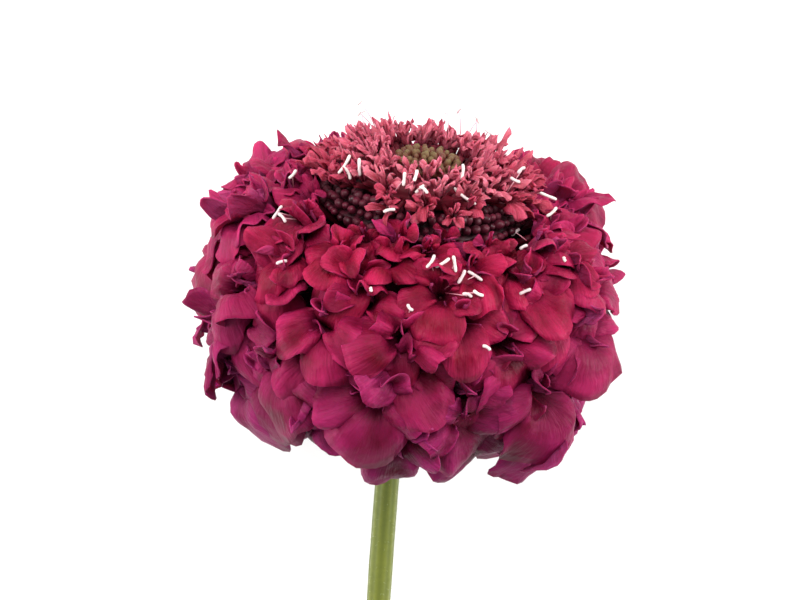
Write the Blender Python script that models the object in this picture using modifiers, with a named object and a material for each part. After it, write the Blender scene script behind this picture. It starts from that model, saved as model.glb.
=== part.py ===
"""A cut double scabiosa: a ruffled crimson head on a length of its bare stem, lying on its side.

Metres, +Z up. The flower lies on the surface at z = 0 with its head towards +Y and the cut end of its
stem towards -Y. The pieces of the head are modelled upright in the head's own frame, its axis along +Z
and its widest ring at z = 0, and an empty lays them over.
"""

import math
import random

import bmesh
import bpy
from mathutils import Matrix, Vector

# How the flower lies: where the head's widest ring is centred, and how its axis and stem lean
HEAD_PLACE = Vector((0.0004, 0.0702, 0.0281))
HEAD_LEAN = math.radians(7.3)
STEM_LEAN = math.radians(3.4)
RISE = math.radians(8.6)

# Stem
STEM_RADIUS = 0.00175
NECK_FLARE = 1.3
NECK_LENGTH = 0.010
NECK_BEND = 0.024
STEM_LENGTH = 0.160
STEM_POINTS = 15
STEM_FLAT = 0.00045
CUT_SLANT = math.radians(50)

# Seats inside the head, as heights along its axis
SEAT_GAP = 0.0003
STEM_TOP = -0.0107
RAY_SEAT = (-0.0070, 0.0132)
BUD_SEAT = (RAY_SEAT[1] + SEAT_GAP, 0.0176)
TUFT_SEAT = (BUD_SEAT[1] + SEAT_GAP, 0.0210)
CENTRE_SEAT = (TUFT_SEAT[1] + SEAT_GAP, 0.0225)
INVOLUCRE_SEAT = (STEM_TOP + SEAT_GAP, RAY_SEAT[0] - SEAT_GAP)
CORE_RADIUS = 0.0170

# The five lobes of a floret, by the turn in degrees at which each ends, with the outermost lobe at 0
LOBE_ENDS = (-180, -100, -34, 34, 100, 180)
LOBES = len(LOBE_ENDS) - 1
RAY_EDGE_TURNS = (-132, -102, -82, -52, -35, -14, 14, 35, 52, 82, 102, 132, 180)
TUFT_EDGE_TURNS = (-140, -100, -67, -34, 0, 34, 67, 100, 140, 180)
THROAT_TURNS = (-128, -66, 0, 66, 128)
THROAT_REACH = 0.42
THROAT_DEPTH = 0.22
BLADE = 0.0007
RAY_ROOT = 0.45
TUFT_ROOT = 0.62
ROW_STAGGER = 0.37
SEED = 21

# Buds, stamens and bracts
BUD_RADIUS = 0.00078
CENTRE_BUD_RADIUS = 0.00052
STAMEN_RADIUS = 0.00036
STAMEN_REACH = 0.0036
ANTHER_HALF = 0.0009
ANTHER_RADIUS = 0.00045
BRACTS = 10
BRACT_LENGTH = 0.0125
BRACT_WIDTH = 0.0028

FULL_TURN = 2 * math.pi


class Tier:
    """A ring of florets: where their throats stand, and how their limbs face, spread and droop."""

    def __init__(self, count, radius, height, lift, size, inner, droop, notch, ruffle, stamen_step=0):
        self.count = count
        self.radius = radius
        self.height = height
        self.lift = math.radians(lift)
        self.size = size
        self.inner = inner
        self.droop = droop
        self.notch = notch
        self.ruffle = ruffle
        self.stamen_step = stamen_step


RAY_TIERS = (
    Tier(12, 0.0222, -0.0078, 0, 0.0112, 0.36, 1.10, 0.26, 0.0024),
    Tier(13, 0.0248, -0.0010, 14, 0.0112, 0.36, 1.00, 0.26, 0.0024),
    Tier(13, 0.0246, 0.0066, 30, 0.0104, 0.36, 0.90, 0.26, 0.0024),
    Tier(13, 0.0230, 0.0128, 45, 0.0086, 0.36, 0.75, 0.28, 0.0022),
    Tier(14, 0.0184, 0.0162, 62, 0.0056, 0.40, 0.55, 0.36, 0.0012, 3),
)
TUFT_TIERS = (
    Tier(13, 0.0124, 0.0208, 52, 0.0039, 0.62, 0.45, 0.50, 0.0006, 2),
    Tier(10, 0.0095, 0.0224, 66, 0.0034, 0.75, 0.35, 0.50, 0.0006, 2),
    Tier(6, 0.0066, 0.0230, 80, 0.0028, 0.85, 0.25, 0.50, 0.0005, 3),
)
BUD_RINGS = ((24, 0.0137, 0.0164), (20, 0.0121, 0.0176))
CENTRE_BUD_RINGS = ((10, 0.0040, 0.0226), (6, 0.0024, 0.0229), (1, 0.0, 0.0230))


class Floret:
    """A floret's own frame and shape. out runs along its tube, and down points away from the head's top."""

    def __init__(self, tier, number, row):
        draw = random.Random(SEED + 1000 * row + number)
        azimuth = FULL_TURN * (number + ROW_STAGGER * row + draw.uniform(-0.15, 0.15)) / tier.count
        lift = tier.lift + math.radians(draw.uniform(-7, 7))
        spin = math.radians(draw.uniform(-20, 20))
        yaw = math.radians(draw.uniform(-12, 12))
        stand = 1 + (0.04 if number % 2 else -0.02) + draw.uniform(-0.02, 0.02)
        around = Matrix.Rotation(azimuth, 3, "Z")
        tilt = around @ Matrix.Rotation(-lift, 3, "Y") @ Matrix.Rotation(yaw, 3, "Z")
        self.out = tilt @ Vector((1, 0, 0))
        spun = tilt @ Matrix.Rotation(spin, 3, "X")
        self.down = spun @ Vector((0, 0, -1))
        self.side = spun @ Vector((0, 1, 0))
        self.throat = around @ Vector((tier.radius * stand, 0, tier.height))
        self.size = tier.size * draw.uniform(0.88, 1.12)
        self.inner = tier.inner
        self.notch = tier.notch
        self.droop = tier.droop * draw.uniform(0.85, 1.15)
        self.lobe_lift = [tier.ruffle * draw.uniform(-1, 1) for _ in range(LOBES)]
        self.lobe_fold = [2 * tier.ruffle * draw.uniform(-1, 1) for _ in range(LOBES)]
        self.twist = draw.uniform(-0.18, 0.18)
        self.has_stamen = tier.stamen_step > 0 and number % tier.stamen_step == 0


def lobe_at(turn):
    """The lobe that a turn falls in, and how far across it from -1 to 1."""
    for lobe in range(LOBES):
        start, end = LOBE_ENDS[lobe], LOBE_ENDS[lobe + 1]
        if turn <= end:
            return lobe, (2 * turn - start - end) / (end - start)
    return LOBES - 1, 1.0


def limb_point(floret, turn, reach):
    """A point of the limb: turn goes round the throat from the outermost lobe, and reach is 1 at the edge."""
    lobe, across = lobe_at(turn)
    outward = (0.5 + 0.5 * math.cos(math.radians(turn))) ** 1.2
    length = floret.size * (floret.inner + (1 - floret.inner) * outward) * (1 - floret.notch * across**4)
    flare = 0.80 * reach - (0.50 + (floret.droop - 0.50) * outward) * reach**2
    ruffle = (1 - across**2) * (floret.lobe_lift[lobe] + floret.lobe_fold[lobe] * across) * reach**1.5
    rise = length * flare + ruffle - THROAT_DEPTH * floret.size * (1 - reach) ** 4
    angle = math.radians(turn) + floret.twist * reach
    run = floret.down * math.cos(angle) + floret.side * math.sin(angle)
    return floret.throat + run * (length * reach) + floret.out * rise


def set_material(obj, name, colour, roughness):
    """A plain finish in the piece's own colour."""
    material = bpy.data.materials.new(name)
    material.use_nodes = True
    shader = material.node_tree.nodes["Principled BSDF"]
    shader.inputs["Base Color"].default_value = (*colour, 1)
    shader.inputs["Roughness"].default_value = roughness
    shader.inputs["Metallic"].default_value = 0
    material.diffuse_color = (*colour, 1)
    obj.data.materials.clear()
    obj.data.materials.append(material)


def new_collection(name):
    collection = bpy.data.collections.new(name)
    bpy.context.scene.collection.children.link(collection)
    return collection


def object_of(name, make_mesh, collection):
    """A mesh object, filled through bmesh and linked into a collection."""
    shape = bmesh.new()
    make_mesh(shape)
    mesh = bpy.data.meshes.new(name)
    shape.to_mesh(mesh)
    shape.free()
    obj = bpy.data.objects.new(name, mesh)
    collection.objects.link(obj)
    return obj


def apply_modifiers(obj):
    """Replaces the object's mesh by its evaluated one."""
    bpy.context.view_layer.update()
    graph = bpy.context.evaluated_depsgraph_get()
    mesh = bpy.data.meshes.new_from_object(obj.evaluated_get(graph))
    old = obj.data
    obj.modifiers.clear()
    obj.data = mesh
    bpy.data.meshes.remove(old)


def turned_solid(name, profile, sides, collection):
    """A solid turned about +Z from (radius, height) points, from the axis at the top to the axis below."""

    def outline(shape):
        points = [shape.verts.new((radius, 0, height)) for radius, height in profile]
        for upper, lower in zip(points, points[1:]):
            shape.edges.new((upper, lower))

    obj = object_of(name, outline, collection)
    screw = obj.modifiers.new("turn", "SCREW")
    screw.steps = screw.render_steps = sides
    screw.use_merge_vertices = True
    screw.merge_threshold = 0.00002
    apply_modifiers(obj)
    return obj


def keep_outer_skin(obj):
    """Drops loose scraps and the walls of sealed hollows, which leaves the largest closed skin."""
    shape = bmesh.new()
    shape.from_mesh(obj.data)
    waiting = set(shape.faces)
    largest = set()
    while waiting:
        skin = set()
        border = [waiting.pop()]
        while border:
            face = border.pop()
            skin.add(face)
            beside = {other for edge in face.edges for other in edge.link_faces} & waiting
            waiting -= beside
            border.extend(beside)
        largest = max(largest, skin, key=len)
    bmesh.ops.delete(shape, geom=[face for face in shape.faces if face not in largest], context="FACES")
    shape.to_mesh(obj.data)
    shape.free()


def join_repeats(core, repeats):
    """Fuses a collection's closed solids to the core and removes them."""
    join = core.modifiers.new("join", "BOOLEAN")
    join.operation = "UNION"
    join.operand_type = "COLLECTION"
    join.collection = repeats
    join.solver = "MANIFOLD"
    apply_modifiers(core)
    keep_outer_skin(core)
    for obj in list(repeats.objects):
        bpy.data.objects.remove(obj)
    bpy.data.collections.remove(repeats)


def triangles_between(inner_turns, outer_turns):
    """The triangles between two rings: their corners on the inner and outer ring, and the next point met."""
    walk = [(turn, "inner", index) for index, turn in enumerate(inner_turns)]
    walk += [(turn, "outer", index) for index, turn in enumerate(outer_turns)]
    last = {"inner": len(inner_turns) - 1, "outer": len(outer_turns) - 1}
    triangles = []
    for _, ring, index in sorted(walk):
        triangles.append((last["inner"], last["outer"], ring, index))
        last[ring] = index
    return triangles


def fill_limb(shape, floret, root, edge_turns):
    """A lobed limb as a closed blade, split alike on both faces, that narrows to its root like a trumpet."""
    sheets = []
    for drop in (0, BLADE):
        shift = floret.out * -drop
        inner = [shape.verts.new(limb_point(floret, turn, THROAT_REACH) + shift) for turn in THROAT_TURNS]
        outer = [shape.verts.new(limb_point(floret, turn, 1) + shift) for turn in edge_turns]
        sheets.append({"inner": inner, "outer": outer})
    upper, lower = sheets
    for inner, outer, ring, index in triangles_between(THROAT_TURNS, edge_turns):
        shape.faces.new((upper["inner"][inner], upper["outer"][outer], upper[ring][index]))
        shape.faces.new((lower[ring][index], lower["outer"][outer], lower["inner"][inner]))
    mouth = shape.verts.new(limb_point(floret, 0, 0))
    foot = shape.verts.new(root)
    for here in range(len(THROAT_TURNS)):
        before = here - 1
        shape.faces.new((mouth, upper["inner"][before], upper["inner"][here]))
        shape.faces.new((foot, lower["inner"][here], lower["inner"][before]))
    for here in range(len(edge_turns)):
        before = here - 1
        shape.faces.new((upper["outer"][before], lower["outer"][before], lower["outer"][here]))
        shape.faces.new((upper["outer"][before], lower["outer"][here], upper["outer"][here]))


def fill_filament(shape, floret, root):
    """A slim three-sided rod from the root, which stands out of the throat."""
    tip = floret.throat + floret.out * STAMEN_REACH
    turn = (tip - root).to_track_quat("Z", "Y").to_matrix().to_4x4()
    bmesh.ops.create_cone(
        shape,
        cap_ends=True,
        segments=3,
        radius1=STAMEN_RADIUS,
        radius2=STAMEN_RADIUS,
        depth=(tip - root).length,
        matrix=Matrix.Translation((tip + root) / 2) @ turn,
    )


def fill_anther(shape, floret):
    """A spindle across the tip of the filament."""
    tip = floret.throat + floret.out * STAMEN_REACH
    turn = (floret.side + 0.4 * floret.out).to_track_quat("Z", "Y").to_matrix().to_4x4()
    stretch = Matrix.Diagonal((ANTHER_RADIUS, ANTHER_RADIUS, ANTHER_HALF, 1))
    place = Matrix.Translation(tip) @ turn @ stretch
    bmesh.ops.create_icosphere(shape, subdivisions=1, radius=1, matrix=place)


def add_florets(tiers, first_row, root_of, edge_turns, collection):
    """The florets of some tiers and their stamens, each rooted well inside the core."""
    for row, tier in enumerate(tiers, first_row):
        for number in range(tier.count):
            floret = Floret(tier, number, row)
            root = root_of(floret.throat)
            name = f"floret_{row}_{number}"
            object_of(name, lambda shape: fill_limb(shape, floret, root, edge_turns), collection)
            if floret.has_stamen:
                object_of("filament", lambda shape: fill_filament(shape, floret, root), collection)
                object_of("anther", lambda shape: fill_anther(shape, floret), collection)


def make_ray_florets(flower):
    """The big ruffled florets, fused to the crimson core that they stand on."""
    low, high = RAY_SEAT
    profile = (
        (0, high),
        (0.60 * CORE_RADIUS, high),
        (0.88 * CORE_RADIUS, 0.80 * high),
        (CORE_RADIUS, 0.35 * high),
        (0.95 * CORE_RADIUS, 0.20 * low),
        (0.55 * CORE_RADIUS, low),
        (0, low),
    )
    core = turned_solid("ray_florets", profile, 16, flower)
    repeats = new_collection("ray floret repeats")

    def root_of(throat):
        return Vector((throat.x * RAY_ROOT, throat.y * RAY_ROOT, 0.55 * throat.z + 0.0010))

    add_florets(RAY_TIERS, 0, root_of, RAY_EDGE_TURNS, repeats)
    join_repeats(core, repeats)
    set_material(core, "crimson petals", (0.42, 0.012, 0.07), 0.6)
    return core


def make_buds(name, rings, radius, profile, colour, flower):
    """Closed buds in rings on the seat that carries them."""
    seat = turned_solid(name, profile, 20, flower)
    repeats = new_collection(name + " repeats")
    draw = random.Random(SEED)
    for ring, (count, ring_radius, height) in enumerate(rings):
        for number in range(count):
            azimuth = FULL_TURN * (number + 0.5 * (ring % 2) + draw.uniform(-0.12, 0.12)) / count
            place = Vector((ring_radius * math.cos(azimuth), ring_radius * math.sin(azimuth), height))
            size = radius * draw.uniform(0.92, 1.08)

            def fill_bud(shape):
                stretch = Matrix.Diagonal((1, 1, 1.25, 1))
                move = Matrix.Translation(place)
                bmesh.ops.create_icosphere(shape, subdivisions=1, radius=size, matrix=move @ stretch)

            object_of("bud", fill_bud, repeats)
    join_repeats(seat, repeats)
    set_material(seat, name.replace("_", " "), colour, 0.5)
    return seat


def make_disc_buds(flower):
    low, high = BUD_SEAT
    profile = (
        (0, high),
        (0.0112, high),
        (0.0138, high - 0.0012),
        (0.0136, low + 0.0018),
        (0.0095, low),
        (0, low),
    )
    return make_buds("disc_buds", BUD_RINGS, BUD_RADIUS, profile, (0.06, 0.008, 0.02), flower)


def make_centre_buds(flower):
    low, high = CENTRE_SEAT
    profile = ((0, high), (0.0034, high), (0.0043, high - 0.0004), (0.0040, low), (0, low))
    return make_buds("centre_buds", CENTRE_BUD_RINGS, CENTRE_BUD_RADIUS, profile, (0.16, 0.10, 0.04), flower)


def make_centre_florets(flower):
    """The raised tuft of small florets, fused to the core under it."""
    low, high = TUFT_SEAT
    profile = ((0, high), (0.0066, high), (0.0094, high - 0.0010), (0.0086, low), (0, low))
    core = turned_solid("centre_florets", profile, 16, flower)
    repeats = new_collection("centre floret repeats")

    def root_of(throat):
        return Vector((throat.x * TUFT_ROOT, throat.y * TUFT_ROOT, (low + high) / 2))

    add_florets(TUFT_TIERS, len(RAY_TIERS), root_of, TUFT_EDGE_TURNS, repeats)
    join_repeats(core, repeats)
    set_material(core, "pink-red tuft", (0.55, 0.03, 0.10), 0.6)
    return core


def fill_bract(shape, azimuth, length):
    """One narrow bract: a thin arched blade that runs out from the disc and turns down."""
    low, high = INVOLUCRE_SEAT
    around = Matrix.Rotation(azimuth, 4, "Z")
    stations = ((0.0, 0.8), (0.35, 1.0), (0.7, 0.75), (1.0, 0.2))
    rings = []
    for share, width in stations:
        run = 0.0030 + length * share
        fall = (low + high) / 2 - 0.0030 * share**2
        half = 0.5 * BRACT_WIDTH * width
        corners = ((-half, 0), (0, -0.0003), (half, 0), (half, -BLADE), (0, -0.0003 - BLADE), (-half, -BLADE))
        rings.append([shape.verts.new(around @ Vector((run, side, fall + up))) for side, up in corners])
    for near, far in zip(rings, rings[1:]):
        for here in range(6):
            after = (here + 1) % 6
            shape.faces.new((near[here], far[here], far[after]))
            shape.faces.new((near[here], far[after], near[after]))
    for ring, order in ((rings[0], 1), (rings[-1], -1)):
        for corners in ((0, 1, 4, 5), (1, 2, 3, 4)):
            shape.faces.new([ring[corner] for corner in corners][::order])


def make_involucre(flower):
    """The green disc under the head, with its whorl of narrow bracts."""
    low, high = INVOLUCRE_SEAT
    profile = (
        (0, high),
        (0.0062, high),
        (0.0068, high - 0.0008),
        (0.0046, low + 0.0010),
        (0.0026, low),
        (0, low),
    )
    disc = turned_solid("involucre", profile, 16, flower)
    repeats = new_collection("bract repeats")
    draw = random.Random(SEED)
    for number in range(BRACTS):
        azimuth = FULL_TURN * (number + draw.uniform(-0.1, 0.1)) / BRACTS
        length = BRACT_LENGTH * draw.uniform(0.85, 1.1)
        object_of("bract", lambda shape: fill_bract(shape, azimuth, length), repeats)
    join_repeats(disc, repeats)
    set_material(disc, "green bracts", (0.16, 0.24, 0.05), 0.6)
    return disc


def stem_route():
    """Points along the stem in world space, from its top under the head to the cut end on the surface."""
    head = head_matrix()
    top = head @ Vector((0, 0, STEM_TOP))
    along = (head.to_3x3() @ Vector((0, 0, -1))).normalized()
    drop = top.z - STEM_RADIUS + STEM_FLAT
    level = math.sqrt(STEM_LENGTH**2 - drop**2)
    end = top + Vector((-math.sin(STEM_LEAN) * level, -math.cos(STEM_LEAN) * level, -drop))
    lead = end + (top - end).normalized() * (STEM_LENGTH / 3)
    points = []
    for step in range(STEM_POINTS):
        share = step / (STEM_POINTS - 1)
        rest = 1 - share
        point = rest**3 * top + 3 * rest**2 * share * (top + along * NECK_BEND)
        points.append(point + 3 * rest * share**2 * lead + share**3 * end)
    return points


def make_stem(flower, cutters):
    """A round tube that swells towards the head and ends in a slanted cut."""
    route = stem_route()
    curve = bpy.data.curves.new("stem route", "CURVE")
    curve.dimensions = "3D"
    curve.bevel_depth = STEM_RADIUS
    curve.bevel_resolution = 3
    curve.use_fill_caps = True
    spline = curve.splines.new("POLY")
    spline.points.add(len(route) - 1)
    for index, point in enumerate(route):
        spline.points[index].co = (*point, 1)
        away = (point - route[0]).length
        spline.points[index].radius = 1 + (NECK_FLARE - 1) * max(0, 1 - away / NECK_LENGTH) ** 2
    tube = bpy.data.objects.new("stem route", curve)
    flower.objects.link(tube)
    bpy.context.view_layer.update()
    mesh = bpy.data.meshes.new_from_object(tube.evaluated_get(bpy.context.evaluated_depsgraph_get()))
    shape = bmesh.new()
    shape.from_mesh(mesh)
    bmesh.ops.remove_doubles(shape, verts=shape.verts, dist=0.00001)
    shape.to_mesh(mesh)
    shape.free()
    bpy.data.objects.remove(tube)
    stem = bpy.data.objects.new("stem", mesh)
    flower.objects.link(stem)
    slice_cutter = make_cutter("slanted cut", 0.012, cutters)
    slice_cutter.location = route[-1] + Vector((0, -0.006 / math.sin(CUT_SLANT) + 0.0016, 0))
    slice_cutter.rotation_euler.x = math.pi / 2 - CUT_SLANT
    cut_with(stem, slice_cutter)
    set_material(stem, "green stem", (0.22, 0.30, 0.07), 0.5)
    return stem


def make_cutter(name, size, cutters):
    """A box that only cuts other pieces."""
    mesh = bpy.data.meshes.new(name)
    shape = bmesh.new()
    bmesh.ops.create_cube(shape, size=size)
    shape.to_mesh(mesh)
    shape.free()
    cutter = bpy.data.objects.new(name, mesh)
    cutter.hide_render = True
    cutter.display_type = "WIRE"
    cutters.objects.link(cutter)
    return cutter


def cut_with(obj, cutter):
    cut = obj.modifiers.new(cutter.name, "BOOLEAN")
    cut.operation = "DIFFERENCE"
    cut.object = cutter
    cut.solver = "MANIFOLD"


def head_matrix():
    """Lays the head's own frame over: its axis rises a little along +Y, and its face turns up."""
    lay = Matrix.Rotation(-HEAD_LEAN, 4, "Z") @ Matrix.Rotation(RISE - math.pi / 2, 4, "X")
    return Matrix.Translation(HEAD_PLACE) @ lay


def clear_scene():
    for obj in list(bpy.data.objects):
        bpy.data.objects.remove(obj)


def main():
    clear_scene()
    flower = new_collection("scabiosa")
    cutters = new_collection("cutters")
    head = bpy.data.objects.new("head", None)
    head.matrix_world = head_matrix()
    flower.objects.link(head)
    surface_cutter = make_cutter("surface", 0.4, cutters)
    surface_cutter.location.z = -0.2
    makers = (make_ray_florets, make_disc_buds, make_centre_florets, make_centre_buds, make_involucre)
    pieces = [maker(flower) for maker in makers]
    for piece in pieces:
        piece.parent = head
    stem = make_stem(flower, cutters)
    for piece in (pieces[0], stem):
        cut_with(piece, surface_cutter)
    for piece in (*pieces, stem):
        piece.data.shade_smooth()
        piece.data.set_sharp_from_angle(angle=math.radians(40))


main()
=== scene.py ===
import math
import random

import bpy
import numpy as np
from mathutils import Matrix, Vector
from mathutils.bvhtree import BVHTree


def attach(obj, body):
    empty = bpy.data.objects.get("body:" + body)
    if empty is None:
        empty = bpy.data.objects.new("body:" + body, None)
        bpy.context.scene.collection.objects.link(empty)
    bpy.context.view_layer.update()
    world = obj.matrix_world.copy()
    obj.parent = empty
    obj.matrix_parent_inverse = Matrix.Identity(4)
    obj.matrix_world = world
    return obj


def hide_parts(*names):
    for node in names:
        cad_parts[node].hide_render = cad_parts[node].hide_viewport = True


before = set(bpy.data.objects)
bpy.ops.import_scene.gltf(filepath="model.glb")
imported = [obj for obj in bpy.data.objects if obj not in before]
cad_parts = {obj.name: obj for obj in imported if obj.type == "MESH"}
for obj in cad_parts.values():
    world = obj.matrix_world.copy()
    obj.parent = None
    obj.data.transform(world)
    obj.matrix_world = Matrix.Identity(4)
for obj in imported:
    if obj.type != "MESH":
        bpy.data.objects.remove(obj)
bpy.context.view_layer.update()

# How the flower lies, as in the frame
HEAD_PLACE = Vector((0.0004, 0.0702, 0.0281))
HEAD_LEAN = math.radians(7.3)
STEM_LEAN = math.radians(3.4)
RISE = math.radians(8.6)
STEM_RADIUS = 0.00175
NECK_FLARE = 1.3
NECK_LENGTH = 0.010
NECK_BEND = 0.024
STEM_LENGTH = 0.160
STEM_FLAT = 0.00045
CUT_SLANT = math.radians(50)
SEAT_GAP = 0.0003
STEM_TOP = -0.0107
RAY_SEAT = (-0.0070, 0.0132)
BUD_SEAT = (RAY_SEAT[1] + SEAT_GAP, 0.0176)
TUFT_SEAT = (BUD_SEAT[1] + SEAT_GAP, 0.0210)
CENTRE_SEAT = (TUFT_SEAT[1] + SEAT_GAP, 0.0225)
INVOLUCRE_SEAT = (STEM_TOP + SEAT_GAP, RAY_SEAT[0] - SEAT_GAP)
CORE_RADIUS = 0.0170

# How florets and bracts are made, as in the frame
LOBE_ENDS = (-180, -100, -34, 34, 100, 180)
LOBES = len(LOBE_ENDS) - 1
THROAT_DEPTH = 0.22
BLADE = 0.0007
RAY_ROOT = 0.45
TUFT_ROOT = 0.62
ROW_STAGGER = 0.37
SEED = 21
ROW_SEEDS = 1000
MOUTH_DEPTH = 0.16
BRACTS = 10
BRACT_LENGTH = 0.0125
BRACT_WIDTH = 0.0028
FULL_TURN = 2 * math.pi

# Finer than the frame
PETAL_HALF = 0.00013
PETAL_CLEARANCE = 0.00018
TUBE_RADIUS = 0.0006
TUBE_SAG = 0.0006
TUBE_STEPS = 7
TUBE_SIDES = 8
TURNED_SIDES = 64
BUD_SIDES = 12
BUD_BANDS = 7
DETAIL_SEED = 7 * SEED
FILLER_SEEDS = 500
SINGLE_ROWS = 20
BRACT_HALF = 0.00028
CUT_TRIM = 0.0016
STEM_SIDES = 50
STEM_STEPS = 240
STEM_RIDGES = 10
RIDGE_DEPTH = 0.045
HAIRS = 900
HAIR_LENGTH = (0.00025, 0.00055)
HAIR_LEAN = 0.00015
HAIR_RADIUS = 0.000022
HAIR_ROOT = 0.00004
HAIR_CLEARANCE = 0.00005
MM = 0.001


class Tier:
    """A ring of florets: where their throats stand, and how their limbs face, spread and droop."""

    def __init__(self, count, radius, height, lift, size, inner, droop, ruffle):
        self.count = count
        self.radius = radius
        self.height = height
        self.lift = math.radians(lift)
        self.size = size
        self.inner = inner
        self.droop = droop
        self.ruffle = ruffle


RAY_TIERS = (
    Tier(12, 0.0222, -0.0078, 0, 0.0112, 0.36, 1.10, 0.0024),
    Tier(13, 0.0248, -0.0010, 14, 0.0112, 0.36, 1.00, 0.0024),
    Tier(13, 0.0246, 0.0066, 30, 0.0104, 0.36, 0.90, 0.0024),
    Tier(13, 0.0230, 0.0128, 45, 0.0086, 0.36, 0.75, 0.0022),
    Tier(14, 0.0184, 0.0162, 62, 0.0056, 0.40, 0.55, 0.0012),
)
TUFT_TIERS = (
    Tier(13, 0.0124, 0.0208, 52, 0.0039, 0.62, 0.45, 0.0006),
    Tier(10, 0.0095, 0.0224, 66, 0.0034, 0.75, 0.35, 0.0006),
    Tier(6, 0.0066, 0.0230, 80, 0.0028, 0.85, 0.25, 0.0005),
)

# Florets that fill the spaces between the tiers, each ring half a step round from its tier
RAY_FILLERS = (
    Tier(12, 0.0228, -0.0044, 7, 0.0104, 0.42, 0.95, 0.0024),
    Tier(13, 0.0240, 0.0028, 22, 0.0100, 0.42, 0.90, 0.0024),
    Tier(13, 0.0234, 0.0098, 38, 0.0090, 0.42, 0.80, 0.0022),
    Tier(16, 0.0205, 0.0146, 52, 0.0068, 0.50, 0.60, 0.0018),
    Tier(18, 0.0164, 0.0166, 66, 0.0050, 0.62, 0.50, 0.0012),
)
TUFT_FILLERS = (
    Tier(22, 0.0136, 0.0198, 38, 0.0041, 0.62, 0.50, 0.0006),
    Tier(19, 0.0110, 0.0216, 60, 0.0036, 0.75, 0.35, 0.0006),
    Tier(16, 0.0076, 0.0226, 70, 0.0031, 0.85, 0.25, 0.0005),
)
# Upright florets on the shoulders of the head, each with its own turn in degrees
SHOULDER_ROW = 3
TOP_ROW = 4
SHOULDERS = (
    (143, Tier(1, 0.0196, 0.0140, 64, 0.0078, 0.60, 0.50, 0.0012)),
    (165, Tier(1, 0.0208, 0.0132, 56, 0.0088, 0.60, 0.50, 0.0012)),
    (22, Tier(1, 0.0208, 0.0150, 66, 0.0090, 0.70, 0.40, 0.0012)),
    (42, Tier(1, 0.0190, 0.0150, 70, 0.0076, 0.60, 0.45, 0.0012)),
)
# Turns in degrees about the head between which the dark buds stay in sight, and the rows beside them
BUD_GAPS = ((205, 252), (290, 322))
ROWS_BESIDE_BUDS = (4, 5)

# Rings of closed buds: count, radius, height and lean in degrees
DARK_RINGS = (
    (64, 0.0140, 0.0160, 62),
    (60, 0.0135, 0.0174, 45),
    (55, 0.0123, 0.0182, 20),
    (49, 0.0110, 0.0185, 5),
)
CENTRE_RINGS = (
    (22, 0.0041, 0.0227, 30),
    (16, 0.0030, 0.0230, 20),
    (10, 0.0019, 0.0232, 10),
    (5, 0.0008, 0.0233, 0),
)


class Floret:
    """A floret's own frame and shape. out runs along its tube, and down away from the head's top.

    turn, in degrees, takes the place of the turn that its number gives it.
    """

    def __init__(self, tier, number, row, between=False, turn=None):
        draw = random.Random(SEED + ROW_SEEDS * row + number + FILLER_SEEDS * between)
        steps = number + ROW_STAGGER * row + draw.uniform(-0.15, 0.15) + 0.5 * between
        azimuth = FULL_TURN * steps / tier.count if turn is None else math.radians(turn)
        self.azimuth = math.degrees(azimuth) % 360
        lift = tier.lift + math.radians(draw.uniform(-7, 7))
        spin = math.radians(draw.uniform(-20, 20))
        yaw = math.radians(draw.uniform(-12, 12))
        stand = 1 + (0.04 if number % 2 else -0.02) + draw.uniform(-0.02, 0.02)
        around = Matrix.Rotation(azimuth, 3, "Z")
        tilt = around @ Matrix.Rotation(-lift, 3, "Y") @ Matrix.Rotation(yaw, 3, "Z")
        self.out = np.array(tilt @ Vector((1, 0, 0)))
        spun = tilt @ Matrix.Rotation(spin, 3, "X")
        self.down = np.array(spun @ Vector((0, 0, -1)))
        self.side = np.array(spun @ Vector((0, 1, 0)))
        self.throat = np.array(around @ Vector((tier.radius * stand, 0, tier.height)))
        self.size = tier.size * draw.uniform(0.88, 1.12)
        self.inner = tier.inner
        self.droop = tier.droop * draw.uniform(0.85, 1.15)
        self.lobe_lift = [tier.ruffle * draw.uniform(-1, 1) for _ in range(LOBES)]
        self.lobe_fold = [2 * tier.ruffle * draw.uniform(-1, 1) for _ in range(LOBES)]
        self.twist = draw.uniform(-0.18, 0.18)


class RayHabit:
    """How the lobes of a big floret stand and crumple.

    Angles are in degrees, and pitch and scale go by outer, side and inner lobe.
    """

    grid = (24, 10)
    pitch = ((-12, 12), (-6, 30), (20, 62))
    scale = ((0.86, 1.04), (0.84, 1.06), (1.0, 1.40))
    roll = 18
    heading = 12
    widen = (1.50, 1.85)
    rounding = (0.58, 0.74)
    fold = (0.045, 0.105)
    crimp = (0.020, 0.050)
    crumple = 0.00060
    thickness = 1.0
    trumpet = 0.0


class TopHabit(RayHabit):
    """The smaller florets next to the dark buds."""

    grid = (16, 9)
    pitch = ((-12, 14), (-6, 28), (15, 55))
    scale = ((1.00, 1.25), (0.95, 1.22), (1.0, 1.30))
    roll = 20
    heading = 14
    widen = (1.25, 1.60)
    rounding = (0.55, 0.75)
    fold = (0.06, 0.12)
    crumple = 0.00042
    thickness = 0.85
    trumpet = 0.10


class TuftHabit(RayHabit):
    """The narrow-lobed florets of the tuft."""

    grid = (10, 7)
    pitch = ((0, 40), (5, 50), (10, 58))
    scale = ((0.75, 1.15), (0.75, 1.10), (0.75, 1.10))
    roll = 35
    heading = 14
    widen = (0.60, 0.92)
    rounding = (0.50, 0.70)
    fold = (0.05, 0.11)
    crimp = (0.01, 0.03)
    crumple = 0.00016
    thickness = 0.7
    trumpet = 0.20


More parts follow.
